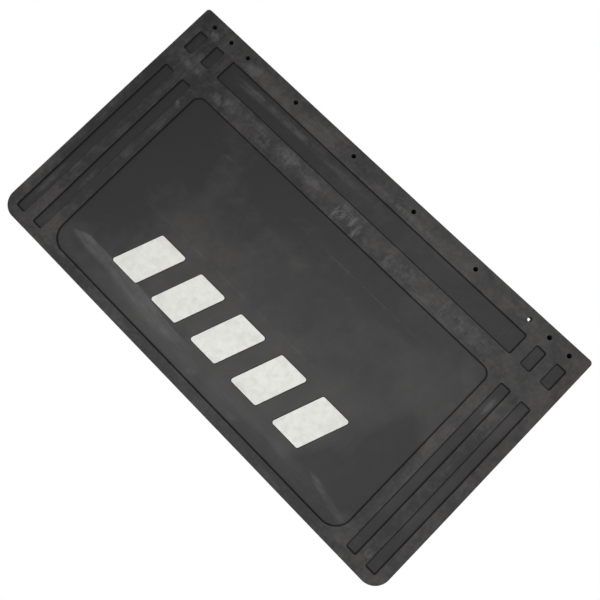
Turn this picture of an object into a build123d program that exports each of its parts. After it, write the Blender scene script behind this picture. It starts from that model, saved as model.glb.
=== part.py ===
"""Moulded rubber mud flap for a truck or trailer, hanging from its row of bolt holes.

Row frame: X across the flap, +Z up, the decorated front face towards -Y. The origin is the middle of
the bolt row on the back face. The flap is one flexible moulding, made here as three rigid bands that
turn on two bending lines, with five white bars inlaid in the lowest band. Millimetres.
"""

from build123d import *
from math import radians, tan
import os

# Whole moulding
FLAP_WIDTH = 640.0
FLAP_HEIGHT = 360.0
RIB_THICKNESS = 8.0
RECESS_DEPTH = 2.5
TOP_CORNER_RADIUS = 5.0
BOTTOM_CORNER_RADIUS = 22.0
OUTER_EDGE_RADIUS = 1.0

# Bolt row, the same each side of the middle
HOLE_ROW_DROP = 13.5
HOLE_RADIUS = 3.0
HOLE_OFFSETS = (50.0, 150.0, 235.0, 265.0, 295.0)

# Recesses, measured down from the top edge and out from the middle
TOP_ROW_START = 29.0
TOP_ROW_END = 59.5
LOWER_ROW_START = 89.5
BOTTOM_MARGIN = 14.0
PANEL_HALF_WIDTH = 245.5
CHANNEL_WIDTH = 15.0
CHANNELS_EACH_SIDE = 2
SMALL_RECESS_RADIUS = 2.5
PANEL_TOP_RADIUS = 12.0
PANEL_BOTTOM_RADIUS = 24.0

# Bending lines, both at mid-thickness: one along the upper recesses, one across the panel
UPPER_BEND_DROP = 44.25
LOWER_BEND_DROP = 167.0
BAND_GAP = 0.4
BAND_TIP_WIDTH = 0.6
BAND_BEVEL_DEG = 27.0

# White bars
BAR_COUNT = 5
BAR_PITCH = 68.5
BAR_HEIGHT = 64.0
BAR_OVERALL_WIDTH = 66.0
BAR_LEAN_DEG = 20.0
BAR_CENTRE_DROP = 277.5
BAR_CORNER_RADIUS = 3.0
BAR_STANDS_PROUD = 1.2
BAR_EDGE_RADIUS = 0.5
POCKET_DEPTH = 0.8
POCKET_CLEARANCE = 0.7

# Heights and depths that follow
TOP_EDGE_Z = HOLE_ROW_DROP
BOTTOM_EDGE_Z = TOP_EDGE_Z - FLAP_HEIGHT
UPPER_BEND_Z = TOP_EDGE_Z - UPPER_BEND_DROP
LOWER_BEND_Z = TOP_EDGE_Z - LOWER_BEND_DROP
BAR_CENTRE_Z = TOP_EDGE_Z - BAR_CENTRE_DROP
PANEL_THICKNESS = RIB_THICKNESS - RECESS_DEPTH
POCKET_FLOOR = PANEL_THICKNESS - POCKET_DEPTH

BACK_FACE = Plane.XZ
FRONT_FACE = Plane.XZ.offset(RIB_THICKNESS)
PANEL_FACE = Plane.XZ.offset(PANEL_THICKNESS)


def rounded_rectangle(plane, centre_x, top_z, bottom_z, width, top_radius, bottom_radius):
    """A rectangle standing in the plane, with its own radius at the two upper and two lower corners."""
    with BuildSketch(plane) as sketch:
        with Locations((centre_x, (top_z + bottom_z) / 2)):
            Rectangle(width, top_z - bottom_z)
        fillet(sketch.vertices().group_by(Axis.Y)[-1], top_radius)
        fillet(sketch.vertices().group_by(Axis.Y)[0], bottom_radius)
    return sketch.sketch


def channel_centres():
    """The middle of each narrow recess column, on both sides of the panel."""
    centres = []
    for number in range(CHANNELS_EACH_SIDE):
        offset = PANEL_HALF_WIDTH + CHANNEL_WIDTH * (2 * number + 1.5)
        centres += [-offset, offset]
    return centres


def recess_row(start_drop, end_drop, panel_top_radius, panel_bottom_radius):
    """One row of recesses: the wide one in the middle and the narrow ones beside it."""
    top_z = TOP_EDGE_Z - start_drop
    bottom_z = TOP_EDGE_Z - end_drop
    row = [
        rounded_rectangle(
            FRONT_FACE, 0, top_z, bottom_z, 2 * PANEL_HALF_WIDTH, panel_top_radius, panel_bottom_radius
        )
    ]
    for centre_x in channel_centres():
        row.append(
            rounded_rectangle(
                FRONT_FACE, centre_x, top_z, bottom_z, CHANNEL_WIDTH, SMALL_RECESS_RADIUS, SMALL_RECESS_RADIUS
            )
        )
    return row


def band_end(bend_z, side):
    """The four corners of a band's V-shaped end at a bending line, from the back face to the front.

    side is -1 for the band below the line and 1 for the band above it.
    """
    middle = -RIB_THICKNESS / 2
    half_tip = BAND_TIP_WIDTH / 2
    tip_z = bend_z + side * BAND_GAP / 2
    face_z = tip_z + side * (RIB_THICKNESS / 2 - half_tip) * tan(radians(BAND_BEVEL_DEG))
    return [(0, face_z), (middle + half_tip, tip_z), (middle - half_tip, tip_z), (-RIB_THICKNESS, face_z)]


def plain_end(edge_z):
    """The two corners of a band's end at the flap's own top or bottom edge."""
    return [(0, edge_z), (-RIB_THICKNESS, edge_z)]


def band_section(upper_end, lower_end):
    """The band's side view, between its upper and its lower end."""
    with BuildSketch(Plane.YZ) as section:
        with BuildLine():
            Polyline(*upper_end, *reversed(lower_end), close=True)
        make_face()
    return section.sketch


def bar_outline(plane, centre_x, grow):
    """A slanted bar with rounded corners, made larger all round by grow."""
    with BuildSketch(plane) as bar:
        with Locations((centre_x, BAR_CENTRE_Z)):
            Trapezoid(BAR_OVERALL_WIDTH, BAR_HEIGHT, 90 - BAR_LEAN_DEG, 90 + BAR_LEAN_DEG)
        fillet(bar.vertices(), BAR_CORNER_RADIUS)
        if grow > 0:
            offset(amount=grow)
    return bar.sketch


FLAP_OUTLINE = rounded_rectangle(
    BACK_FACE, 0, TOP_EDGE_Z, BOTTOM_EDGE_Z, FLAP_WIDTH, TOP_CORNER_RADIUS, BOTTOM_CORNER_RADIUS
)
UPPER_RECESSES = recess_row(TOP_ROW_START, TOP_ROW_END, SMALL_RECESS_RADIUS, SMALL_RECESS_RADIUS)
LOWER_RECESSES = recess_row(
    LOWER_ROW_START, FLAP_HEIGHT - BOTTOM_MARGIN, PANEL_TOP_RADIUS, PANEL_BOTTOM_RADIUS
)
BAR_CENTRES = [BAR_PITCH * (number - (BAR_COUNT - 1) / 2) for number in range(BAR_COUNT)]
HOLE_CENTRES = [(side * offset_x, 0) for offset_x in HOLE_OFFSETS for side in (-1, 1)]

os.makedirs("parts", exist_ok=True)

# The band that is clamped to the vehicle, with the bolt row and the upper half of the upper recesses
with BuildPart() as fixing_strip:
    extrude(FLAP_OUTLINE, amount=RIB_THICKNESS)
    fillet(fixing_strip.edges().filter_by(Axis.Y, reverse=True), OUTER_EDGE_RADIUS)
    extrude(
        band_section(plain_end(TOP_EDGE_Z), band_end(UPPER_BEND_Z, 1)),
        amount=FLAP_WIDTH,
        both=True,
        mode=Mode.INTERSECT,
    )
    for recess in UPPER_RECESSES:
        extrude(recess, amount=-RECESS_DEPTH, mode=Mode.SUBTRACT)
    with Locations(BACK_FACE):
        with Locations(*HOLE_CENTRES):
            Hole(HOLE_RADIUS)

# The band between the two bending lines
with BuildPart() as upper_flap:
    extrude(FLAP_OUTLINE, amount=RIB_THICKNESS)
    fillet(upper_flap.edges().filter_by(Axis.Y, reverse=True), OUTER_EDGE_RADIUS)
    extrude(
        band_section(band_end(UPPER_BEND_Z, -1), band_end(LOWER_BEND_Z, 1)),
        amount=FLAP_WIDTH,
        both=True,
        mode=Mode.INTERSECT,
    )
    for recess in UPPER_RECESSES + LOWER_RECESSES:
        extrude(recess, amount=-RECESS_DEPTH, mode=Mode.SUBTRACT)

# The lowest band, with a shallow pocket for each white bar
with BuildPart() as lower_flap:
    extrude(FLAP_OUTLINE, amount=RIB_THICKNESS)
    fillet(lower_flap.edges().filter_by(Axis.Y, reverse=True), OUTER_EDGE_RADIUS)
    extrude(
        band_section(band_end(LOWER_BEND_Z, -1), plain_end(BOTTOM_EDGE_Z)),
        amount=FLAP_WIDTH,
        both=True,
        mode=Mode.INTERSECT,
    )
    for recess in LOWER_RECESSES:
        extrude(recess, amount=-RECESS_DEPTH, mode=Mode.SUBTRACT)
    for centre_x in BAR_CENTRES:
        extrude(
            bar_outline(PANEL_FACE, centre_x, POCKET_CLEARANCE),
            amount=-POCKET_DEPTH,
            mode=Mode.SUBTRACT,
        )

for name, band in (("fixing_strip", fixing_strip), ("upper_flap", upper_flap), ("lower_flap", lower_flap)):
    band.part.label = name
    export_step(band.part, f"parts/{name}.step")

# The white bars, each bonded to the floor of its pocket and standing proud of the panel
for number, centre_x in enumerate(BAR_CENTRES, start=1):
    with BuildPart() as white_bar:
        extrude(
            bar_outline(Plane.XZ.offset(POCKET_FLOOR), centre_x, 0),
            amount=POCKET_DEPTH + BAR_STANDS_PROUD,
        )
        fillet(white_bar.edges().group_by(Axis.Y)[0], BAR_EDGE_RADIUS)
    white_bar.part.label = f"white_bar_{number}"
    export_step(white_bar.part, f"parts/white_bar_{number}.step")
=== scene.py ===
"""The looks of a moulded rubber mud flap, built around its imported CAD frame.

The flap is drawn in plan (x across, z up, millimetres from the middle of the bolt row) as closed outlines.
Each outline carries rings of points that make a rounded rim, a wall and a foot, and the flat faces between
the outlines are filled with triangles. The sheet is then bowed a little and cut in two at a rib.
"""

import math
from types import SimpleNamespace

import bmesh
import bpy
import numpy as np
from mathutils import Matrix, Vector
from mathutils.geometry import delaunay_2d_cdt
from mathutils.kdtree import KDTree


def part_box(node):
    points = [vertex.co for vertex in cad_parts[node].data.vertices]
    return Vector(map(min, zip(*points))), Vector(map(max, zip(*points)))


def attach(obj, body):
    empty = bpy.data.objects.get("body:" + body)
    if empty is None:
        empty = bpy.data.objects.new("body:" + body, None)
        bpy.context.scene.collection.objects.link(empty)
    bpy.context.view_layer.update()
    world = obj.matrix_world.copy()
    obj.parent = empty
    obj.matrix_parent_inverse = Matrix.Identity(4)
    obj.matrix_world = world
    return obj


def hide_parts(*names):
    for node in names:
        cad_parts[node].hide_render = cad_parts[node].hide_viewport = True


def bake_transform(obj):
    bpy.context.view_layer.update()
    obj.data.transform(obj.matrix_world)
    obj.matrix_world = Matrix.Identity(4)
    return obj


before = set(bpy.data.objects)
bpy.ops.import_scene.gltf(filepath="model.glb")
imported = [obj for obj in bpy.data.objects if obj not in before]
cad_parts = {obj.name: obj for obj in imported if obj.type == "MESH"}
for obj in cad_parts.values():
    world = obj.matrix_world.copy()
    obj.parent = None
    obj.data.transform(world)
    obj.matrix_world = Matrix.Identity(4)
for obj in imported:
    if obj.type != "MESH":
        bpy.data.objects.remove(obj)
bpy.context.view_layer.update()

MM = 0.001

# ---------------------------------------------------------------- sizes from the frame, in millimetres
strip_low, strip_high = (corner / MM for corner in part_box("fixing_strip"))
LEFT, RIGHT = strip_low.x, strip_high.x
TOP, BOTTOM = strip_high.z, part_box("lower_flap")[0].z / MM
FRONT_Y, BACK_Y = strip_low.y, strip_high.y
THICKNESS = BACK_Y - FRONT_Y
BAR_NODES = sorted(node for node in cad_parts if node.startswith("white_bar"))

# ---------------------------------------------------------------- the moulding's own shape, in millimetres
RECESS_DEPTH = 2.5
TOP_CORNER_RADIUS = 5.0
BOTTOM_CORNER_RADIUS = 22.0
HOLE_RADIUS = 3.0
HOLE_OFFSETS = (50.0, 150.0, 235.0, 265.0, 295.0)
HOLE_CENTRES = [side * offset for offset in HOLE_OFFSETS for side in (-1, 1)]
TOP_ROW = (TOP - 29.0, TOP - 59.5)
LOWER_ROW = (TOP - 89.5, BOTTOM + 14.0)
SEAM_Z = (TOP_ROW[1] + LOWER_ROW[0]) / 2
PANEL_HALF_WIDTH = 245.5
CHANNEL_WIDTH = 15.0
SMALL_RADIUS = 2.5
PANEL_TOP_RADIUS = 12.0
PANEL_BOTTOM_RADIUS = 24.0
BAR_WIDTH = 66.0
BAR_LEAN_DEG = 20.0
BAR_CORNER_RADIUS = 3.0
POCKET_DEPTH = 0.8
POCKET_CLEARANCE = 0.7

# rounded edges, drafts, and the groove along the foot of each recess wall, which is painted dark as shade
OUTER_RADIUS = 0.8
PARTING_DRAFT = 0.1
PARTING_RIDGE = (0.05, 0.25)
RIM_RADIUS = 0.6
WALL_DRAFT = 0.25
GROOVE_DEPTH = 0.4
GROOVE_WIDTH = 0.8
# how dark the painted shade in the grooves is, and how far past the groove it fades out on the floor
GROOVE_PAINTED_SHADE = 0.62
CREVICE_FADE = 0.9
HOLE_RIM = 0.15
POCKET_RIM = 0.2
POCKET_DRAFT = 0.05
POCKET_SHADE = (1.0, 1.8)
BAR_EDGE_RADIUS = 0.5
BAR_FOOT_CHAMFER = 0.2

# how closely the points lie, the share of a face's spacing kept clear of its edges, and the area below which
# a triangle is only rounding
EDGE_SPACING = 4.0
ARC_SPACING = 1.2
FEWEST_ARC_STEPS = 4
FACE_SPACING = 4.5
POCKET_SPACING = 9.0
BAR_SPACING = 3.0
BAR_FOOT_SPACING = 6.0
EDGE_CLEARANCE = 0.72
SLIVER_AREA = 0.001

# how the sheet is bowed: waves of (height, length across, length up, phase), a fold and a sagging top edge
SWELLS = ((0.55, 95, 160, 0.7), (0.35, 47, -71, 2.1), (0.25, 29, 38, 0.0))
FOLD_Z = TOP - 307
FOLD_SLOPE = 0.03
FOLD_DEPTH = 0.5
TOP_SAG = 1.3


# ---------------------------------------------------------------- plan outlines
class Outline:
    """A closed line in plan, anticlockwise, with an outward normal at each point."""

    def __init__(self, points, normals):
        self.points = np.array(points, float)
        self.normals = np.array(normals, float)

    def moved(self, distance):
        """The points, moved outwards by a distance."""
        return self.points + self.normals * distance


def rounded_polygon(corners, radii, spacing=EDGE_SPACING):
    """An outline through anticlockwise corners, each rounded to its own radius."""
    corners = [Vector(corner) for corner in corners]
    arcs = []
    for number, (corner, radius) in enumerate(zip(corners, radii)):
        before = (corners[number - 1] - corner).normalized()
        after = (corners[(number + 1) % len(corners)] - corner).normalized()
        half_angle = before.angle(after) / 2
        centre = corner + (before + after).normalized() * radius / math.sin(half_angle)
        start = math.atan2(before.x, -before.y)
        turn = math.pi - 2 * half_angle
        steps = max(FEWEST_ARC_STEPS, round(radius * turn / ARC_SPACING))
        normals = [
            Vector((math.cos(start + turn * step / steps), math.sin(start + turn * step / steps)))
            for step in range(steps + 1)
        ]
        arcs.append(([centre + normal * radius for normal in normals], normals))
    points, normals = [], []
    for number, (arc_points, arc_normals) in enumerate(arcs):
        points += arc_points
        normals += arc_normals
        begin, end = arc_points[-1], arcs[(number + 1) % len(arcs)][0][0]
        count = max(1, round((end - begin).length / spacing))
        for step in range(1, count):
            points.append(begin.lerp(end, step / count))
            normals.append(arc_normals[-1])
    return Outline(points, normals)


def rectangle(left, right, top, bottom, top_radius, bottom_radius):
    """A rectangle's outline, with one radius for its upper corners and one for its lower ones."""
    corners = ((left, bottom), (right, bottom), (right, top), (left, top))
    return rounded_polygon(corners, (bottom_radius, bottom_radius, top_radius, top_radius))


def circle(centre_x, centre_z, radius, count=28):
    """A round hole's outline."""
    angles = np.arange(count) * math.tau / count
    normals = np.stack([np.cos(angles), np.sin(angles)], 1)
    return Outline(normals * radius + (centre_x, centre_z), normals)


def recess_row(row, panel_top_radius, panel_bottom_radius):
    """One row of recesses: the wide one in the middle, then the two narrow ones on each side."""
    top, bottom = row
    outlines = [
        rectangle(-PANEL_HALF_WIDTH, PANEL_HALF_WIDTH, top, bottom, panel_top_radius, panel_bottom_radius)
    ]
    for side in (-1, 1):
        for column in (1.5, 3.5):
            middle = side * (PANEL_HALF_WIDTH + CHANNEL_WIDTH * column)
            half = CHANNEL_WIDTH / 2
            outlines.append(rectangle(middle - half, middle + half, top, bottom, SMALL_RADIUS, SMALL_RADIUS))
    return outlines


def bar_outline(node, grow=0.0):
    """A white bar's slanted outline, centred on its CAD node's box and made larger all round by grow."""
    low, high = (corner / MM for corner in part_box(node))
    middle = (low.x + high.x) / 2
    lean = (high.z - low.z) * math.tan(math.radians(BAR_LEAN_DEG))
    half = BAR_WIDTH / 2
    corners = (
        (middle - half, low.z),
        (middle + half - lean, low.z),
        (middle + half, high.z),
        (middle - half + lean, high.z),
    )
    outline = rounded_polygon(corners, [BAR_CORNER_RADIUS] * 4, BAR_SPACING)
    return Outline(outline.moved(grow), outline.normals)


# ---------------------------------------------------------------- meshes from outlines
def inside(polygon, places):
    """True for each place that is inside a closed line of points."""
    hit = np.zeros(len(places), bool)
    for (x0, z0), (x1, z1) in zip(polygon, np.roll(polygon, -1, axis=0)):
        if z0 != z1:
            crosses = (places[:, 1] < z0) != (places[:, 1] < z1)
            hit ^= crosses & (places[:, 0] < x0 + (places[:, 1] - z0) * (x1 - x0) / (z1 - z0))
    return hit


def arc_profile(centre_distance, centre_depth, radius, start_deg, end_deg, steps=3):
    """Points of a quarter round, as (distance out from the outline, depth below the front face)."""
    angles = [math.radians(start_deg + (end_deg - start_deg) * step / steps) for step in range(steps + 1)]
    return [
        (centre_distance + radius * math.cos(angle), centre_depth + radius * math.sin(angle))
        for angle in angles
    ]


class Sheet:
    """The points and faces of a solid, flat and in millimetres. Depth is measured from the front face."""

    def __init__(self):
        self.places = []
        self.painted_crevice_shade = []
        self.faces = []

    def ring(self, outline, distance, depth, painted_crevice_shade=0.0):
        """Adds the outline's points, moved outwards, at one depth."""
        start = len(self.places)
        self.places += [(x, FRONT_Y + depth, z) for x, z in outline.moved(distance)]
        self.painted_crevice_shade += [painted_crevice_shade] * len(outline.points)
        return range(start, len(self.places))

    def wall(self, outline, profile, painted_shade_from=None, painted_shade_strength=1.0):
        """Joins rings along a profile, and gives its first and last ring.

        The rings from the first shaded one up to the last but one are painted dark, as shade at the foot of
        a wall.
        """
        rings = []
        for step, (distance, depth) in enumerate(profile):
            dark = painted_shade_from is not None and painted_shade_from <= step < len(profile) - 1
            rings.append(self.ring(outline, distance, depth, painted_shade_strength if dark else 0.0))
        for first, second in zip(rings, rings[1:]):
            for here in range(len(first)):
                there = (here + 1) % len(first)
                self.faces.append((first[here], first[there], second[there], second[here]))
        return rings[0], rings[-1]

    def fill(self, border, holes=(), spacing=FACE_SPACING):
        """Fills the flat face between a border ring and the rings of its holes with triangles."""
        rings = [border, *holes]
        plans = [np.array([(self.places[i][0], self.places[i][2]) for i in ring]) for ring in rings]
        depth = self.places[border[0]][1]
        low, high = plans[0].min(0), plans[0].max(0)
        row_gap = spacing * math.sqrt(3) / 2
        rows = np.arange(low[1] + row_gap, high[1], row_gap)
        grid = np.array(
            [
                (x, z)
                for number, z in enumerate(rows)
                for x in np.arange(low[0] + spacing * (0.5 + number % 2 / 2), high[0], spacing)
            ]
        ).reshape(-1, 2)
        edge_points = np.concatenate(plans)
        tree = KDTree(len(edge_points))
        for number, (x, z) in enumerate(edge_points):
            tree.insert((x, z, 0), number)
        tree.balance()
        keep = self.between(plans, grid)
        clear = EDGE_CLEARANCE * spacing
        keep &= np.array([tree.find((x, z, 0))[2] > clear for x, z in grid], bool)
        grid = grid[keep]

        indices = [i for ring in rings for i in ring]
        indices += range(len(self.places), len(self.places) + len(grid))
        self.places += [(x, depth, z) for x, z in grid]
        self.painted_crevice_shade += [0.0] * len(grid)

        edges, start = [], 0
        for ring in rings:
            count = len(ring)
            edges += [(start + here, start + (here + 1) % count) for here in range(count)]
            start += count
        coordinates = [Vector(place) for place in np.concatenate([edge_points, grid])]
        made = delaunay_2d_cdt(coordinates, edges, [], 0, 1e-5)
        plan = np.array([tuple(place) for place in made[0]])
        triangles = np.array(made[2])
        side, other = (plan[triangles[:, corner]] - plan[triangles[:, 0]] for corner in (1, 2))
        areas = abs(side[:, 0] * other[:, 1] - side[:, 1] * other[:, 0]) / 2
        shown = self.between(plans, plan[triangles].mean(1)) & (areas > SLIVER_AREA)
        for triangle in triangles[shown]:
            self.faces.append(tuple(indices[made[3][corner][0]] for corner in triangle))

    @staticmethod
    def between(plans, places):
        """True for each place inside the first closed line and outside the others."""
        hit = inside(plans[0], places)
        for hole in plans[1:]:
            hit &= ~inside(hole, places)
        return hit

    def bmesh(self):
        """The solid as a bmesh, still flat and in millimetres, with each point's painted shade."""
        made = bmesh.new()
        painted_crevice_shade = made.verts.layers.float.new("painted_crevice_shade")
        for place, dark in zip(self.places, self.painted_crevice_shade):
            made.verts.new(place)[painted_crevice_shade] = dark
        made.verts.ensure_lookup_table()
        for face in self.faces:
            made.faces.new([made.verts[i] for i in face]).smooth = True
        bmesh.ops.recalc_face_normals(made, faces=made.faces)
        return made


def smooth(value, low, high):
    """0 below low, 1 above high, and a smooth step between them. low may be the larger one."""
    t = min(1.0, max(0.0, (value - low) / (high - low)))
    return t * t * (3 - 2 * t)


def bowed(place):
    """A flat place moved to where it lies on the slightly uneven sheet, in millimetres."""
    x, y, z = place
    loose = smooth(z, 5, -120)
    swell = sum(height * math.sin(x / across + z / up + phase) for height, across, up, phase in SWELLS)
    fold = FOLD_Z - FOLD_SLOPE * x
    in_panel = smooth(x, -245, -205) * smooth(x, 250, 150)
    crease = smooth(z, fold + 1.5, fold - 2.5) * smooth(z, fold - 40, fold - 4) * in_panel
    sag = smooth(z, 4, TOP) * (1 - (x / RIGHT) ** 2)
    return x, y + loose * swell - FOLD_DEPTH * crease, z - TOP_SAG * sag


def finished_piece(name, made, material):
    """Makes an object from a bmesh in flat millimetres, bows it, and keeps each point's flat place."""
    mesh = bpy.data.meshes.new(name)
    made.to_mesh(mesh)
    made.free()
    flat = np.array([vertex.co for vertex in mesh.vertices], float)
    mesh.attributes.new("rest", "FLOAT_VECTOR", "POINT").data.foreach_set("vector", flat.ravel())
    bent = np.array([bowed(place) for place in flat]) * MM
    mesh.vertices.foreach_set("co", bent.ravel())
    mesh.update()
    mesh.materials.append(material)
    piece = bpy.data.objects.new(name, mesh)
    bpy.context.scene.collection.objects.link(piece)
    weighted = piece.modifiers.new("even_faces", "WEIGHTED_NORMAL")
    weighted.keep_sharp = True
    return piece


# ---------------------------------------------------------------- procedural materials
class Shader:
    """Adds nodes to a material. Each method gives the socket of what it made."""

    def __init__(self, name):
        self.material = bpy.data.materials.new(name)
        self.material.use_nodes = True
        self.tree = self.material.node_tree
        self.bsdf = self.tree.nodes["Principled BSDF"]
        rest = self.tree.nodes.new("ShaderNodeAttribute")
        rest.attribute_name = "rest"
        self.place = rest.outputs["Vector"]
        split = self.tree.nodes.new("ShaderNodeSeparateXYZ")
        self.feed(split.inputs[0], self.place)
        self.x, self.y, self.z = split.outputs

    def feed(self, socket, value):
        if isinstance(value, bpy.types.NodeSocket):
            self.tree.links.new(value, socket)
        else:
            socket.default_value = value

    def math(self, operation, *values, clamp=False):
        node = self.tree.nodes.new("ShaderNodeMath")
        node.operation = operation
        node.use_clamp = clamp
        for socket, value in zip(node.inputs, values):
            self.feed(socket, value)
        return node.outputs[0]

    def total(self, *values):
        result = values[0]
        for value in values[1:]:
            result = self.math("ADD", result, value)
        return result

    def product(self, *values):
        result = values[0]
        for value in values[1:]:
            result = self.math("MULTIPLY", result, value)
        return result

    def weighted(self, *terms):
        """The sum of (value, weight) terms."""
        return self.total(*(self.product(*term) for term in terms))

    def clamped(self, value):
        """The value, kept from 0 to 1."""
        return self.math("MULTIPLY", value, 1.0, clamp=True)

    def attribute(self, name):
        node = self.tree.nodes.new("ShaderNodeAttribute")
        node.attribute_name = name
        return node.outputs["Fac"]

    def step(self, value, low, high, to_low=0.0, to_high=1.0):
        """A smooth step. low may be the larger one."""
        node = self.tree.nodes.new("ShaderNodeMapRange")
        node.interpolation_type = "SMOOTHSTEP"
        if low > high:
            low, high, to_low, to_high = high, low, to_high, to_low
        for socket, number in zip(node.inputs, (value, low, high, to_low, to_high)):
            self.feed(socket, number)
        return node.outputs[0]

    def mapped(self, size, turn_deg=0.0, shift=(0.0, 0.0, 0.0)):
        """The flat place, turned in plan and divided by a size in millimetres for each axis."""
        turned = self.tree.nodes.new("ShaderNodeVectorRotate")
        turned.rotation_type = "Y_AXIS"
        self.feed(turned.inputs["Vector"], self.place)
        turned.inputs["Angle"].default_value = math.radians(turn_deg)
        node = self.tree.nodes.new("ShaderNodeMapping")
        self.feed(node.inputs["Vector"], turned.outputs[0])
        node.inputs["Location"].default_value = shift
        node.inputs["Scale"].default_value = [1 / length for length in size]
        return node.outputs[0]

    def noise(self, size, detail=2.0, roughness=0.5, distortion=0.0, turn_deg=0.0, shift=(0.0, 0.0, 0.0)):
        node = self.tree.nodes.new("ShaderNodeTexNoise")
        size = (size,) * 3 if isinstance(size, (int, float)) else size
        self.feed(node.inputs["Vector"], self.mapped(size, turn_deg, shift))
        node.inputs["Scale"].default_value = 1.0
        node.inputs["Detail"].default_value = detail
        node.inputs["Roughness"].default_value = roughness
        node.inputs["Distortion"].default_value = distortion
        return node.outputs["Fac"]

    def spot(self, x, z, half_width, half_height, turn_deg=0.0):
        """A soft patch in plan, 1 in its middle and 0 outside its half sizes."""
        turned = math.radians(turn_deg)
        across = self.math("SUBTRACT", self.x, x)
        up = self.math("SUBTRACT", self.z, z)
        along = self.total(self.product(across, math.cos(turned)), self.product(up, math.sin(turned)))
        aside = self.total(self.product(across, -math.sin(turned)), self.product(up, math.cos(turned)))
        reach = self.total(
            self.math("POWER", self.math("ABSOLUTE", self.math("DIVIDE", along, half_width)), 2.0),
            self.math("POWER", self.math("ABSOLUTE", self.math("DIVIDE", aside, half_height)), 2.0),
        )
        return self.step(reach, 1.0, 0.1)

    def line(self, z, half_width):
        """A thin level line in plan."""
        return self.step(self.math("ABSOLUTE", self.math("SUBTRACT", self.z, z)), half_width, 0.2)

    def spots(self, table):
        """The sum of soft patches, each (x, z, half width, half height, turn in degrees, strength)."""
        return self.weighted(*((self.spot(*place), strength) for *place, strength in table))

    def mix(self, factor, first, second):
        """Mixes two colours, each a socket or (r, g, b)."""
        node = self.tree.nodes.new("ShaderNodeMix")
        node.data_type = "RGBA"
        self.feed(node.inputs[0], factor)
        for socket, value in ((node.inputs[6], first), (node.inputs[7], second)):
            self.feed(socket, value if isinstance(value, bpy.types.NodeSocket) else (*value, 1.0))
        return node.outputs[2]

    def bump(self, *layers):
        """Stacks bumps of (height socket, height in millimetres, strength)."""
        normal = None
        for height, millimetres, strength in layers:
            node = self.tree.nodes.new("ShaderNodeBump")
            node.inputs["Strength"].default_value = strength
            node.inputs["Distance"].default_value = millimetres * MM
            self.feed(node.inputs["Height"], height)
            if normal is not None:
                self.feed(node.inputs["Normal"], normal)
            normal = node.outputs[0]
        self.feed(self.bsdf.inputs["Normal"], normal)


# Soft patches on the front, each (x, z, half width, half height, turn in degrees, strength). The first table
# is for the chalky film, and its lighter and darker patches are also painted light and shade across the
# front; the others are for rubbed places, strokes by the thumb mark and a painted highlight in the panel's
# lower right corner.
FILM_AND_PAINTED_LIGHT_PATCHES = (
    (60, TOP - 250, 330, 150, -14, 0.28),
    (-262, TOP - 185, 135, 150, 0, -0.52),
    (-95, TOP - 132, 120, 66, 0, -0.18),
    (-120, TOP - 300, 150, 40, 0, 0.12),
    (-125, TOP - 336, 115, 14, 0, 0.26),
    (0, TOP - 112, 190, 44, 0, -0.24),
    (0, TOP - 190, 160, 60, 0, -0.10),
    (204, TOP - 150, 60, 52, 0, 0.20),
    (232, TOP - 112, 34, 12, -42, 0.14),
    (188, TOP - 266, 36, 56, 0, -0.26),
    (128, TOP - 342, 60, 11, 0, -0.40),
    (228, TOP - 256, 38, 84, 6, -0.55),
    (200, TOP - 316, 70, 48, 0, -0.55),
    (60, TOP - 338, 110, 12, 0, -0.18),
    (20, TOP - 354, 350, 12, 0, -0.48),
    (283, TOP - 215, 12, 150, 0, -0.44),
    (268, TOP - 215, 10, 150, 0, -0.14),
    (-283, TOP - 215, 11, 150, 0, 0.20),
    (-317, TOP - 215, 10, 150, 0, 0.32),
    (-311, TOP - 16, 26, 26, 0, -0.26),
    (298, TOP - 215, 8, 150, 0, 0.14),
    (-150, TOP - 22, 95, 16, 0, 0.34),
    (120, TOP - 22, 110, 16, 0, 0.2),
    (0, TOP - 22, 60, 14, 0, -0.16),
    (290, SEAM_Z, 44, 22, 0, 0.22),
    (-240, TOP - 44, 50, 20, 0, -0.20),
    (-150, TOP - 53, 90, 11, 0, -0.12),
    (-190, TOP - 31, 80, 7, 0, -0.20),
    (85, TOP - 180, 110, 62, 0, -0.17),
    (120, TOP - 338, 58, 14, 0, -0.36),
    (-50, TOP - 320, 52, 13, 0, -0.20),
    (-170, TOP - 210, 42, 40, 0, 0.20),
    (-130, TOP - 354, 50, 9, 0, 0.5),
    (-283, TOP - 32, 15, 28, 0, -0.42),
    (283, TOP - 125, 32, 30, 0, 0.28),
    (283, TOP - 318, 32, 42, 0, -0.28),
)
HANDLED_PATCHES = (
    (-108, TOP - 70, 24, 13, 0, 0.6),
    (-144, TOP - 77, 14, 10, 0, 0.4),
    (-66, TOP - 72, 19, 7, 0, 0.42),
    (-213, SEAM_Z - 2, 26, 9, 6, 0.55),
    (-165, SEAM_Z + 6, 22, 6, 0, 0.35),
    (-280, SEAM_Z + 4, 24, 6, 0, 0.35),
    (70, SEAM_Z - 5, 9, 12, 0, 0.5),
    (96, SEAM_Z - 2, 18, 14, 0, 0.4),
    (155, SEAM_Z, 6, 16, 0, 0.5),
    (196, SEAM_Z, 40, 15, 0, 0.36),
    (-254, TOP - 113, 7, 10, 0, 0.75),
    (-253, TOP - 150, 6, 50, 0, 0.3),
    (-286, TOP - 22, 12, 6, -35, 0.55),
    (-215, TOP - 18, 24, 9, 20, 0.4),
    (50, TOP - 22, 60, 4, 0, 0.35),
    (269, TOP - 121, 4, 15, 0, 0.8),
    (284, TOP - 334, 6, 6, 20, 0.6),
    (-300, TOP - 300, 5, 40, 0, 0.35),
    (-265, TOP - 262, 4, 22, 0, 0.4),
    (-4, TOP - 334, 9, 6, 30, 0.3),
    (68, TOP - 338, 10, 5, 10, 0.4),
    (-90, TOP - 302, 12, 6, 40, 0.35),
)
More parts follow.
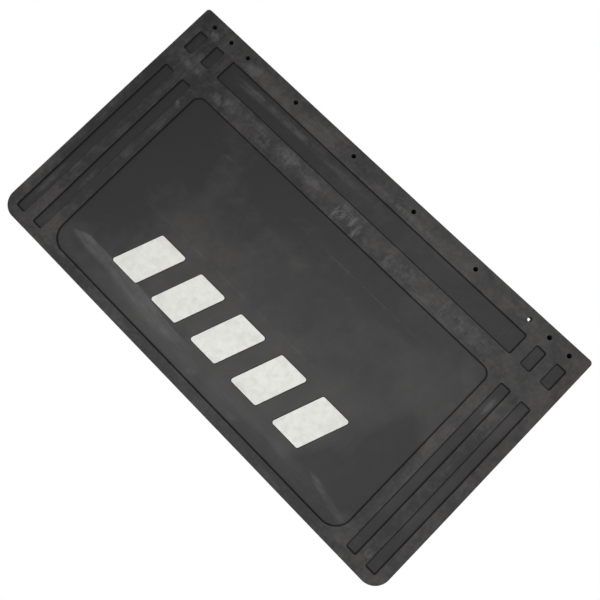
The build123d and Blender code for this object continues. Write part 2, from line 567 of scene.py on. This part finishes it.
THUMB_STROKES = (
    (18, TOP - 79, 5, 13, 4, 1.0),
    (7, TOP - 73, 4.5, 10, -8, 0.95),
    (-7, TOP - 77, 4, 7, 0, 0.5),
    (-13, TOP - 67, 5, 5, -30, 0.5),
    (-18, TOP - 78, 4, 12, 0, 0.55),
)
# a painted highlight slanting into the panel's lower right corner
PAINTED_HIGHLIGHT_PATCHES = (
    (193, TOP - 321, 20, 4.5, -14, 1.0),
    (212, TOP - 325, 46, 6, -14, 0.6),
    (240, TOP - 330, 12, 16, 0, 0.55),
)

# Thin level lines left by drying water: (x, z, half length, half width)
TIDE_LINES = (
    (-25, TOP - 230, 190, 1.4),
    (60, TOP - 121, 130, 1.6),
    (-150, TOP - 121, 18, 2.4),
)
TIDE_LINE_REACH = 9

# Places: the middle of the thumb mark's arcs, and the level of the streak wiped along the long recess
THUMB_X, THUMB_Z = 1.0, TOP - 89
THUMB_WAVE = 3.6
WIPED_Z = TOP - 39.5

# Colours
BARE_RUBBER = (0.0128, 0.0117, 0.0120)
# the chalky film's colour; how much of it shows also carries painted light and shade
FILMED_AND_PAINTED_LIGHT_RUBBER = (0.0474, 0.0451, 0.0438)
# grey of rubbed marks, also used for painted highlights
SCUFF_AND_HIGHLIGHT_GREY = (0.112, 0.111, 0.113)
RUDDY_RUBBER = (0.062, 0.043, 0.043)
DUST = (0.16, 0.155, 0.14)
DEEP_SHADE = (0.002, 0.002, 0.002)
CLEAN_WHITE = (0.665, 0.665, 0.632)
MOTTLED_WHITE = (0.585, 0.583, 0.543)
GREYED_WHITE = (0.5, 0.49, 0.45)
# grey of the inlay's specks, also used for painted shade on its sides
WHITE_SPECK_AND_SHADE = (0.3, 0.3, 0.28)


def rubber_noises(s):
    """The patterns that the rubber's film, scuffs and bumps are made of."""
    return SimpleNamespace(
        cloud=s.noise(75, 4, 0.55, 0.4),
        patchy=s.noise(38, 3, 0.5, 0.8, shift=(2.6, 1, 9.3)),
        mottle=s.noise(13, 5, 0.65, shift=(3.1, 0, 7.7)),
        fleck=s.noise(5, 4, 0.7, shift=(8.1, 2, 0.7)),
        streak=s.noise((46, 20, 5), 5, 0.65, 1.0, turn_deg=3, shift=(0.4, 0, 2.2)),
        wipe=s.noise((5, 20, 50), 5, 0.65, 1.0, turn_deg=-2, shift=(9.0, 0, 1.0)),
        slope=s.noise((60, 20, 4.5), 5, 0.6, 0.8, turn_deg=-7, shift=(3.4, 1, 5.2)),
        brush=s.noise((2.2, 20, 22), 4, 0.6, 0.6, turn_deg=4, shift=(2.0, 5, 3.0)),
        scratch=s.noise((90, 20, 0.9), 2, turn_deg=28, shift=(1, 0, 4)),
        grain=s.noise(0.9, 3, 0.6),
        pebble=s.noise(3.2, 3, 0.55, shift=(5, 5, 5)),
        speck=s.noise(1.7, 2, 0.5, shift=(11, 4, 8)),
    )


def chalky_film_and_painted_light(s, n, front, rib):
    """The film's strength: clouds everywhere, streaks and flecks on the ribs, less in the small recesses as
    painted shade, and patches of painted light and shade on the front.
    """
    far_out = s.step(s.math("ABSOLUTE", s.x), PANEL_HALF_WIDTH, PANEL_HALF_WIDTH + 4)
    off_panel = s.math("MAXIMUM", far_out, s.step(s.z, SEAM_Z - 5, SEAM_Z + 5))
    small_recess = s.product(s.math("SUBTRACT", front, rib), off_panel)
    streaks = s.mix(far_out, s.step(n.streak, 0.4, 0.68), s.step(n.wipe, 0.4, 0.68))
    return s.weighted(
        (s.step(n.cloud, 0.34, 0.68), 0.24),
        (s.step(n.mottle, 0.35, 0.7), 0.2),
        (s.step(n.patchy, 0.4, 0.62), 0.06),
        (s.product(rib, s.step(n.patchy, 0.38, 0.6), streaks), 0.4),
        (s.product(rib, s.step(n.fleck, 0.43, 0.6)), 0.25),
        (s.product(rib, s.step(n.mottle, 0.42, 0.62)), 0.12),
        # painted shade: less film on the small recesses' floors
        (small_recess, s.step(n.wipe, 0.4, 0.65, -0.26, -0.12)),
        # the film's patches on the front, which are also painted light and shade
        (front, s.spots(FILM_AND_PAINTED_LIGHT_PATCHES)),
    )


def thumb_mark(s, n):
    """A smeared thumb mark: wavy arcs round a point, and strokes beside them."""
    across = s.math("SUBTRACT", s.x, THUMB_X)
    up = s.math("SUBTRACT", s.z, THUMB_Z)
    away = s.math("SQRT", s.total(s.product(across, across), s.product(up, up)))
    waves = s.math("SINE", s.weighted((away, math.tau / THUMB_WAVE), (n.mottle, 14.0), (n.fleck, 5.0)))
    arcs = s.product(s.step(away, 25, 22), s.step(away, 9, 14), s.step(up, -2, 2), s.step(waves, -0.3, 0.8))
    return s.total(
        s.product(arcs, s.step(across, 12, -6, 0.25, 0.6), s.step(n.fleck, 0.36, 0.6, 0.2, 1.0)),
        s.product(s.spots(THUMB_STROKES), s.step(s.weighted((n.brush, 1.0), (n.fleck, 0.4)), 0.55, 0.85)),
    )


def wiped_streak(s, n):
    """A streak wiped along the long recess, fading to the right."""
    height = s.total(s.z, -WIPED_Z, s.product(s.step(s.x, -190, -226), 4.0))
    spread = s.product(s.math("ABSOLUTE", height), s.step(s.x, -210, -150, 1.0, 1.4))
    return s.product(
        s.step(spread, 8.5, 1.0),
        s.step(s.x, -236, -205),
        s.step(s.x, 60, -150),
        s.step(s.weighted((n.streak, 0.6), (n.mottle, 0.4)), 0.36, 0.56),
    )


def fold_painted_highlight(s, n):
    """A painted highlight: a lighter band below the fold at the foot of the panel, narrowing at both ends.
    """
    upper = s.total(s.z, s.step(s.x, -130, -50, 0.0, 7.0), s.step(s.x, -208, -240, 0.0, 10.0))
    lower = s.total(s.z, s.step(s.x, -180, -110, 0.0, 8.0), s.step(s.x, -204, -238, 0.0, -6.0))
    return s.product(
        s.step(upper, TOP - 306.8, TOP - 309.6),
        s.step(lower, TOP - 326, TOP - 317),
        s.step(s.x, -241, -230),
        s.step(s.x, -10, -70),
        s.step(s.weighted((n.slope, 0.65), (n.mottle, 0.35)), 0.36, 0.6, 0.3, 1.0),
    )


def scuffs_and_painted_highlights(s, n, front):
    """The strength of the rubbed marks and painted highlights: marks and painted highlights on the front,
    scratches everywhere and faint streaks on the back.
    """
    rubbing = s.step(s.weighted((n.brush, 0.4), (n.fleck, 0.3), (n.mottle, 0.3)), 0.4, 0.6)
    dust_streaks = s.step(s.weighted((n.streak, 0.6), (n.wipe, 0.4)), 0.38, 0.62)
    lines = (
        (s.line(z, half_width), s.spot(x, z, half_length, TIDE_LINE_REACH))
        for x, z, half_length, half_width in TIDE_LINES
    )
    on_front = s.weighted(
        (s.product(s.spots(HANDLED_PATCHES), rubbing), 0.75),
        (thumb_mark(s, n), 0.8),
        (wiped_streak(s, n), 0.34),
        # painted highlight in a band below the fold
        (fold_painted_highlight(s, n), 0.52),
        (s.product(s.spot(60, TOP - 331, 240, 20), dust_streaks), 0.12),
        # painted highlight slanting into the panel's lower right corner
        (s.product(s.spots(PAINTED_HIGHLIGHT_PATCHES), s.step(n.streak, 0.35, 0.6, 0.45, 1.0)), 0.24),
        (s.product(s.weighted(*lines), s.step(n.mottle, 0.38, 0.6)), 0.16),
    )
    scratches = s.product(s.step(n.scratch, 0.64, 0.7), s.step(n.mottle, 0.42, 0.62))
    on_back = s.product(s.math("SUBTRACT", 1.0, front), s.step(n.streak, 0.5, 0.72))
    return s.total(s.product(front, on_front), s.weighted((scratches, 0.12), (on_back, 0.07)))


def rubber_material():
    """Dark moulded rubber with a chalky bloom, handling marks and dust, with painted shade in its grooves,
    pockets and holes, painted light and shade in the film's patches, and painted highlights on the panel's
    foot.
    """
    s = Shader("moulded_black_rubber")
    n = rubber_noises(s)
    front = s.step(s.y, FRONT_Y + 6.0, FRONT_Y + 4.5)
    rib = s.step(s.y, FRONT_Y + RECESS_DEPTH - 0.4, FRONT_Y + 0.6)
    painted_crevice_shade = s.attribute("painted_crevice_shade")
    scuff_and_highlight = scuffs_and_painted_highlights(s, n, front)

    # film colour, whose amount also carries painted light and shade
    colour = s.mix(s.clamped(chalky_film_and_painted_light(s, n, front, rib)), BARE_RUBBER, FILMED_AND_PAINTED_LIGHT_RUBBER)
    # rubbed marks, and painted highlights at the fold and in the panel's lower right corner
    colour = s.mix(s.clamped(scuff_and_highlight), colour, SCUFF_AND_HIGHLIGHT_GREY)
    ruddy = s.product(s.step(s.x, 292, 318), s.step(s.z, TOP - 260, TOP - 20), s.step(n.mottle, 0.35, 0.6))
    colour = s.mix(s.product(ruddy, 0.42), colour, RUDDY_RUBBER)
    colour = s.mix(s.step(n.speck, 0.72, 0.8, 0.0, 0.12), colour, DUST)
    # painted shade: dark in the grooves at the walls' feet, round the pockets and inside the bolt holes
    colour = s.mix(s.product(painted_crevice_shade, 0.95), colour, DEEP_SHADE)
    s.feed(s.bsdf.inputs["Base Color"], colour)

    dullness = s.weighted((n.mottle, 0.16), (n.wipe, 0.12), (scuff_and_highlight, 0.35), (painted_crevice_shade, 0.4), (rib, 0.04))
    s.feed(s.bsdf.inputs["Roughness"], s.clamped(s.total(0.42, dullness)))
    s.bsdf.inputs["IOR"].default_value = 1.42
    s.bump((n.mottle, 0.25, 0.35), (n.pebble, 0.12, 0.5), (n.grain, 0.05, 0.6))
    return s.material


def white_material():
    """White rubber inlay, a little mottled and grey where it has been handled, with painted shade on its
    sides low in the pocket.
    """
    s = Shader("white_inlay_rubber")
    blotch = s.noise(9, 5, 0.65, 0.5, shift=(4, 1, 6))
    cloud = s.noise(30, 3, 0.5, shift=(1, 8, 3))
    grain = s.noise(0.8, 3, 0.6)
    speck = s.noise(1.3, 2, 0.5, shift=(7, 7, 1))
    colour = s.mix(s.step(blotch, 0.35, 0.72), CLEAN_WHITE, MOTTLED_WHITE)
    colour = s.mix(s.step(cloud, 0.5, 0.75, 0.0, 0.35), colour, GREYED_WHITE)
    colour = s.mix(s.step(speck, 0.7, 0.76, 0.0, 0.6), colour, WHITE_SPECK_AND_SHADE)
    # painted shade: the inlay's sides are grey from just above the panel down into the pocket
    colour = s.mix(s.step(s.y, FRONT_Y + 2.2, FRONT_Y + 1.5), WHITE_SPECK_AND_SHADE, colour)
    s.feed(s.bsdf.inputs["Base Color"], colour)
    s.feed(s.bsdf.inputs["Roughness"], s.step(blotch, 0.3, 0.8, 0.5, 0.68))
    s.bump((blotch, 0.2, 0.4), (grain, 0.05, 0.5))
    return s.material


def plain_material(name, colour, roughness):
    """A flat finish for the things that stand round the object."""
    material = bpy.data.materials.new(name)
    material.use_nodes = True
    bsdf = material.node_tree.nodes["Principled BSDF"]
    bsdf.inputs["Base Color"].default_value = (*colour, 1.0)
    bsdf.inputs["Roughness"].default_value = roughness
    return material


# ---------------------------------------------------------------- the rubber sheet
def build_sheet():
    """The whole rubber moulding as one closed solid, flat."""
    sheet = Sheet()
    outer = rectangle(LEFT, RIGHT, TOP, BOTTOM, TOP_CORNER_RADIUS, BOTTOM_CORNER_RADIUS)
    inset = -PARTING_DRAFT - OUTER_RADIUS
    ridge_height, ridge_half = PARTING_RIDGE
    front_ring, back_ring = sheet.wall(
        outer,
        [
            *arc_profile(inset, OUTER_RADIUS, OUTER_RADIUS, -90, 0, 4),
            (-ridge_height, THICKNESS / 2 - ridge_half),
            (0.0, THICKNESS / 2),
            (-ridge_height, THICKNESS / 2 + ridge_half),
            *arc_profile(inset, THICKNESS - OUTER_RADIUS, OUTER_RADIUS, 0, 90, 4),
        ],
    )

    pocket_rim = arc_profile(POCKET_RIM, RECESS_DEPTH + POCKET_RIM, POCKET_RIM, 270, 180, 2)
    pocket_profile = [
        *pocket_rim,
        (-POCKET_DRAFT, RECESS_DEPTH + POCKET_DEPTH),
        *((-distance, RECESS_DEPTH + POCKET_DEPTH) for distance in POCKET_SHADE),
    ]
    pockets = []
    for node in BAR_NODES:
        outline = bar_outline(node, POCKET_CLEARANCE)
        # the pocket's wall and a strip of its floor are painted dark, as shade in the gap round the bar
        rim, floor = sheet.wall(outline, pocket_profile, painted_shade_from=len(pocket_rim) - 1)
        sheet.fill(floor, spacing=POCKET_SPACING)
        pockets.append(rim)

    # from the rim down the wall, through the groove at its foot and on to the recess's floor
    recess_rim = arc_profile(RIM_RADIUS, RIM_RADIUS, RIM_RADIUS, 270, 180)
    groove = ((0.0, 0.7), (0.2, 1.0), (0.4, 1.0), (0.8, 0.25), (1.0, 0.05))
    recess_profile = [
        *recess_rim,
        (-WALL_DRAFT / 2, RECESS_DEPTH / 2),
        *(
            (-WALL_DRAFT - GROOVE_WIDTH * along, RECESS_DEPTH + GROOVE_DEPTH * down)
            for along, down in groove
        ),
        (-WALL_DRAFT - GROOVE_WIDTH - CREVICE_FADE, RECESS_DEPTH),
    ]
    rims = []
    recesses = recess_row(TOP_ROW, SMALL_RADIUS, SMALL_RADIUS)
    panel_number = len(recesses)
    recesses += recess_row(LOWER_ROW, PANEL_TOP_RADIUS, PANEL_BOTTOM_RADIUS)
    for number, recess in enumerate(recesses):
        # the groove and the floor just past it are painted dark, as shade
        rim, floor = sheet.wall(recess, recess_profile, len(recess_rim) + 1, GROOVE_PAINTED_SHADE)
        sheet.fill(floor, pockets if number == panel_number else ())
        rims.append(rim)

    hole_rim = arc_profile(HOLE_RIM, HOLE_RIM, HOLE_RIM, 270, 180)
    hole_profile = [
        *hole_rim,
        (0.0, THICKNESS / 2),
        *arc_profile(HOLE_RIM, THICKNESS - HOLE_RIM, HOLE_RIM, 180, 90),
    ]
    hole_backs = []
    for x in HOLE_CENTRES:
        # the hole's wall is painted dark, as shade
        front, back = sheet.wall(circle(x, 0, HOLE_RADIUS), hole_profile, painted_shade_from=len(hole_rim) - 1)
        rims.append(front)
        hole_backs.append(back)
    sheet.fill(front_ring, rims)
    sheet.fill(back_ring, hole_backs)
    return sheet


def cut_half(whole, keep_above):
    """A copy of the sheet with only what is above or below the seam, closed at the cut."""
    half = whole.copy()
    cut = bmesh.ops.bisect_plane(
        half,
        geom=[*half.verts, *half.edges, *half.faces],
        plane_co=(0, 0, SEAM_Z),
        plane_no=(0, 0, -1 if keep_above else 1),
        clear_outer=True,
    )
    edges = [item for item in cut["geom_cut"] if isinstance(item, bmesh.types.BMEdge)]
    cap = bmesh.ops.edgeloop_fill(half, edges=edges)["faces"]
    for face in cap:
        face.smooth = False
    for edge in edges:
        edge.smooth = False
    bmesh.ops.recalc_face_normals(half, faces=half.faces)
    return half


rubber = rubber_material()
white = white_material()

whole_sheet = build_sheet().bmesh()
upper_half = finished_piece("flap_upper_part", cut_half(whole_sheet, True), rubber)
lower_half = finished_piece("flap_lower_part", cut_half(whole_sheet, False), rubber)
whole_sheet.free()

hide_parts("fixing_strip", "upper_flap")
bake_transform(upper_half)
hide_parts("lower_flap")
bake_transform(lower_half)

# ---------------------------------------------------------------- the white bars
for node in BAR_NODES:
    low, high = (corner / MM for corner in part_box(node))
    floor_depth, top_depth = high.y - FRONT_Y, low.y - FRONT_Y
    bar = Sheet()
    foot, top = bar.wall(
        bar_outline(node),
        [
            (-BAR_FOOT_CHAMFER, floor_depth),
            (0.0, floor_depth - BAR_FOOT_CHAMFER),
            *arc_profile(-BAR_EDGE_RADIUS, top_depth + BAR_EDGE_RADIUS, BAR_EDGE_RADIUS, 0, -90),
        ],
    )
    bar.fill(foot, spacing=BAR_FOOT_SPACING)
    bar.fill(top, spacing=BAR_SPACING)
    piece = finished_piece(f"{node}_inlay", bar.bmesh(), white)
    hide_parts(node)
    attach(piece, "lower_flap")


# ---------------------------------------------------------------- floor, light and camera
FLOOR_Z = -0.9
FLOOR_HALF = 4.0
FLOOR_BACK = 0.3
FLOOR_FADE = 0.6
FLOOR_GLOW = 0.5
WORLD_LIGHT = 0.45
WHITE = (1.0, 1.0, 1.0, 1.0)

# the dark discs behind the bolt holes, in millimetres, and the one that leaves its hole partly open
CARD_GAP = 0.2
CARD_MARGIN = 0.4
OPEN_HOLE = 235.0
OPEN_WIDTH = 1.5

# soft square lights: name, place, side in metres and watts, all turned towards the middle of the flap
FLAP_MIDDLE = Vector((0, 0, -0.1665))
LIGHTS = (
    ("front_light", (0.2, -1.0, -0.25), 0.6, 2.4),
    ("top_light", (0.2, -1.0, 0.25), 0.6, 2.4),
    ("low_light", (-0.2, -1.0, -0.75), 0.6, 4.6),
    ("back_light", (-0.7, 1.1, 0.35), 1.0, 26),
    ("back_fill", (1.0, 0.8, -0.1), 0.8, 12),
)

SENSOR_WIDTH = 36
LENS = 37.6
CAMERA_PLACE = Vector((0.12076, -0.74164, -0.22718))
CAMERA_RIGHT = Vector((0.708075, 0.035906, 0.705224))
CAMERA_FORWARD = Vector((-0.124850, 0.989338, 0.074984))


def flat_panel(name, corners, faces, material):
    """Flat faces that aren't part of the object."""
    mesh = bpy.data.meshes.new(name)
    mesh.from_pydata(corners, [], faces)
    mesh.materials.append(material)
    panel = bpy.data.objects.new(name, mesh)
    bpy.context.scene.collection.objects.link(panel)


def add_node(tree, kind, *sources, **values):
    """Adds a node, links sources to its first inputs, and sets other inputs by name."""
    node = tree.nodes.new(f"ShaderNode{kind}")
    for socket, source in zip(node.inputs, sources):
        tree.links.new(source, socket)
    for name, value in values.items():
        node.inputs[name].default_value = value
    return node


def area_light(name, place, size, watts):
    """A soft square light turned towards the middle of the flap, and hidden from the camera."""
    light = bpy.data.lights.new(name, "AREA")
    light.size = size
    light.energy = watts
    lamp = bpy.data.objects.new(name, light)
    lamp.location = place
    lamp.visible_camera = False
    lamp.rotation_euler = (FLAP_MIDDLE - Vector(place)).to_track_quat("-Z", "Y").to_euler()
    bpy.context.scene.collection.objects.link(lamp)


def floor_material():
    """A pale floor that glows a little for the camera and fades out behind the flap."""
    material = plain_material("pale_floor", (0.86, 0.86, 0.85), 0.7)
    tree = material.node_tree
    seen = add_node(tree, "LightPath").outputs["Is Camera Ray"]
    glow = add_node(tree, "Emission", seen, Strength=FLOOR_GLOW)
    lit = add_node(tree, "AddShader", tree.nodes["Principled BSDF"].outputs[0], glow.outputs[0])
    place = add_node(tree, "NewGeometry").outputs["Position"]
    depth = add_node(tree, "SeparateXYZ", place).outputs["Y"]
    fade = add_node(tree, "MapRange", depth)
    fade.interpolation_type = "SMOOTHSTEP"
    fade.inputs["From Min"].default_value = FLOOR_BACK
    fade.inputs["From Max"].default_value = FLOOR_BACK - FLOOR_FADE
    clear = add_node(tree, "BsdfTransparent")
    shown = add_node(tree, "MixShader", fade.outputs[0], clear.outputs[0], lit.outputs[0])
    tree.links.new(shown.outputs[0], tree.nodes["Material Output"].inputs["Surface"])
    return material


def card_material():
    """A dark dull card that stands in for shade and is clear from behind."""
    material = plain_material("dark_card", (0.006, 0.006, 0.006), 0.5)
    tree = material.node_tree
    bsdf = tree.nodes["Principled BSDF"]
    bsdf.inputs["Specular IOR Level"].default_value = 0.0
    behind = add_node(tree, "NewGeometry").outputs["Backfacing"]
    clear = add_node(tree, "BsdfTransparent")
    shown = add_node(tree, "MixShader", behind, bsdf.outputs[0], clear.outputs[0])
    tree.links.new(shown.outputs[0], tree.nodes["Material Output"].inputs["Surface"])
    return material


floor_corners = [
    (-FLOOR_HALF, -FLOOR_HALF, FLOOR_Z),
    (FLOOR_HALF, -FLOOR_HALF, FLOOR_Z),
    (FLOOR_HALF, FLOOR_BACK, FLOOR_Z),
    (-FLOOR_HALF, FLOOR_BACK, FLOOR_Z),
]
flat_panel("floor", floor_corners, [range(4)], floor_material())

# the discs stand for the shade under the bolt row
disc_points, disc_faces = [], []
for x in HOLE_CENTRES:
    disc = circle(x, 0, HOLE_RADIUS + CARD_MARGIN).points
    if x == OPEN_HOLE:
        disc[:, 0] = np.maximum(disc[:, 0], OPEN_HOLE + OPEN_WIDTH)
    disc_faces.append(range(len(disc_points), len(disc_points) + len(disc)))
    disc_points += [(across * MM, (BACK_Y + CARD_GAP) * MM, up * MM) for across, up in disc]
flat_panel("shade_discs", disc_points, disc_faces, card_material())

# the world gives a soft light, and is plain white where the camera sees it
world = bpy.data.worlds.new("studio")
bpy.context.scene.world = world
world.use_nodes = True
tree = world.node_tree
background = tree.nodes["Background"]
background.inputs["Color"].default_value = WHITE
background.inputs["Strength"].default_value = WORLD_LIGHT
backdrop = add_node(tree, "Background", Color=WHITE, Strength=1.0)
seen = add_node(tree, "LightPath").outputs["Is Camera Ray"]
choice = add_node(tree, "MixShader", seen, background.outputs[0], backdrop.outputs[0])
tree.links.new(choice.outputs[0], tree.nodes["World Output"].inputs["Surface"])

for light in LIGHTS:
    area_light(*light)

camera_data = bpy.data.cameras.new("camera")
camera_data.sensor_width = SENSOR_WIDTH
camera_data.lens = LENS
camera = bpy.data.objects.new("camera", camera_data)
turn = Matrix((CAMERA_RIGHT, CAMERA_RIGHT.cross(CAMERA_FORWARD), -CAMERA_FORWARD)).transposed()
camera.matrix_world = Matrix.Translation(CAMERA_PLACE) @ turn.to_4x4()
bpy.context.scene.collection.objects.link(camera)
bpy.context.scene.camera = camera
bpy.context.scene.view_settings.view_transform = "Standard"
